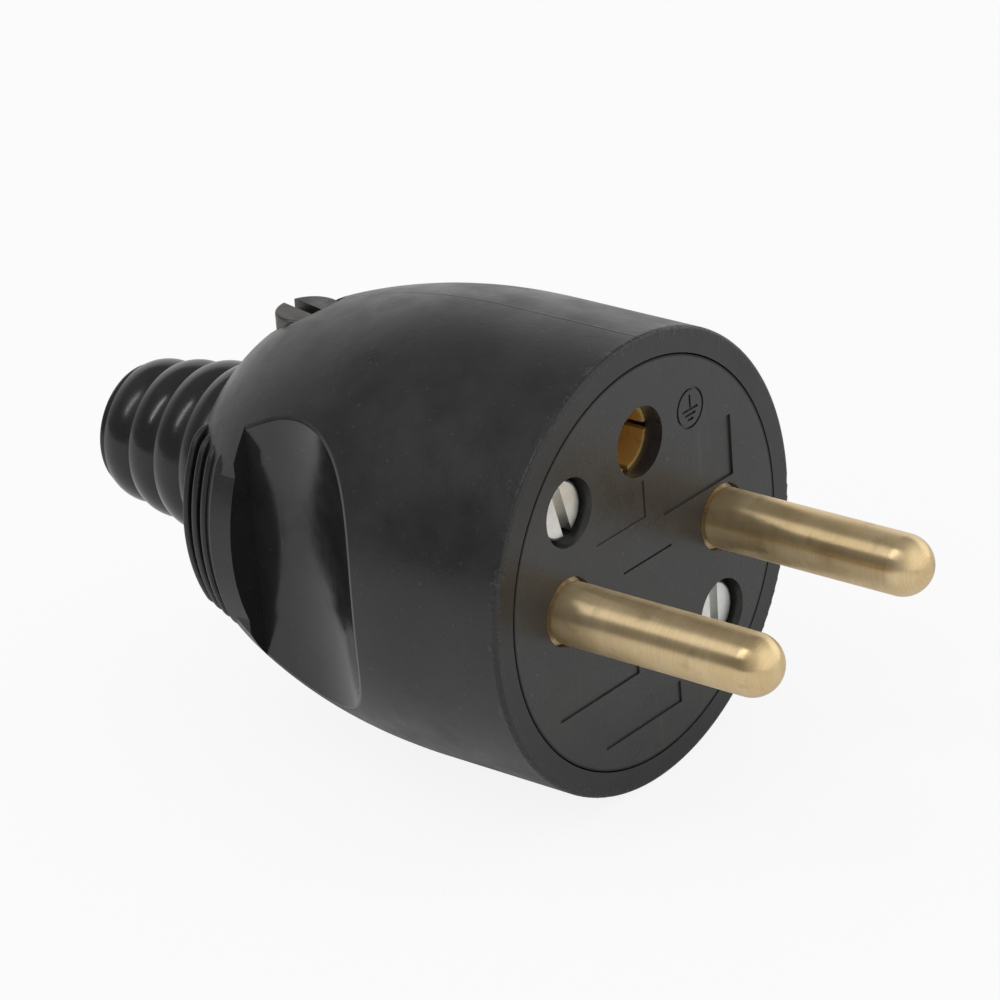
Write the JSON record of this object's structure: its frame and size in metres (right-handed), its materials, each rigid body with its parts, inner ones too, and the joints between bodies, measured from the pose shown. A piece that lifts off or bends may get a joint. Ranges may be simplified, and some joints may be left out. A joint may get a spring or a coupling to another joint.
{
  "type": "grounded plug",
  "caption": "Black rubber rewirable plug with two round brass pins, an earth socket, finger scoops, pull ribs and a ringed cable sleeve.",
  "frame": {"origin": "centre of the front face, which meets the socket outlet", "axes": "+X along the pins, away from the cord; +Z from the centre to the earth socket; +Y to the neutral pin"},
  "size_m": [0.0704, 0.0362, 0.0362],
  "materials": {
    "shell_rubber": "satin moulded black rubber, a little dusty",
    "sleeve_rubber": "smooth moulded black rubber, glossier than the shell",
    "insert_plastic": "satin black thermoset plastic",
    "inner_plastic": "plain black moulded plastic, hidden inside",
    "brass": "turned brass with fine marks round it",
    "zinc_steel": "zinc plated steel",
    "spring_steel": "bare spring steel"
  },
  "bodies": {
    "root": {"outer_shell": "shell_rubber", "cable_sleeve": "sleeve_rubber", "pin_carrier": "insert_plastic", "rear_insulator": "inner_plastic", "inner_frame": "inner_plastic", "line_pin": "brass", "neutral_pin": "brass", "earth_socket": "brass", "earth_spring": "spring_steel", "line_terminal_screw": "zinc_steel", "neutral_terminal_screw": "zinc_steel", "earth_terminal_screw": "zinc_steel", "upper_fixing_screw": "zinc_steel", "lower_fixing_screw": "zinc_steel", "upper_thread_bush": "brass", "lower_thread_bush": "brass", "clamp_screw": "zinc_steel", "clamp_bush": "brass", "cord_saddle": "inner_plastic"}
  },
  "joints": []
}
